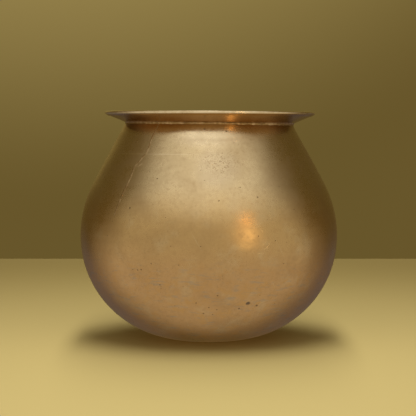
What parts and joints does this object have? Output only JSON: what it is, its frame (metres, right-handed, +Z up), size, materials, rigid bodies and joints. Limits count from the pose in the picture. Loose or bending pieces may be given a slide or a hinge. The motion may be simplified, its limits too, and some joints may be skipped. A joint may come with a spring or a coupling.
{
  "type": "kalash pot",
  "caption": "Round-bellied sheet-brass kalash pot with an inward-leaning wall, a narrow neck and a wide flared lip, brazed at belly, side and neck.",
  "frame": {"origin": "middle of the foot, on the plane that the pot stands on", "axes": "+Z up through the mouth, along the pot's axis; -Y is the side that faces the viewer; +X to the viewer's right"},
  "size_m": [0.2, 0.2, 0.1765],
  "materials": {
    "aged_brass": "satin, hand-rubbed, with brown tarnish, fine pits and scratches",
    "rim_brass": "satin, worn bright along the edge",
    "braze": "dull, pale, a little pitted"
  },
  "bodies": {
    "root": {"lower_bowl": "aged_brass", "upper_wall": "aged_brass", "rim_collar": "rim_brass", "belly_braze": "braze", "side_seam_braze": "braze", "neck_braze": "braze"}
  },
  "joints": []
}
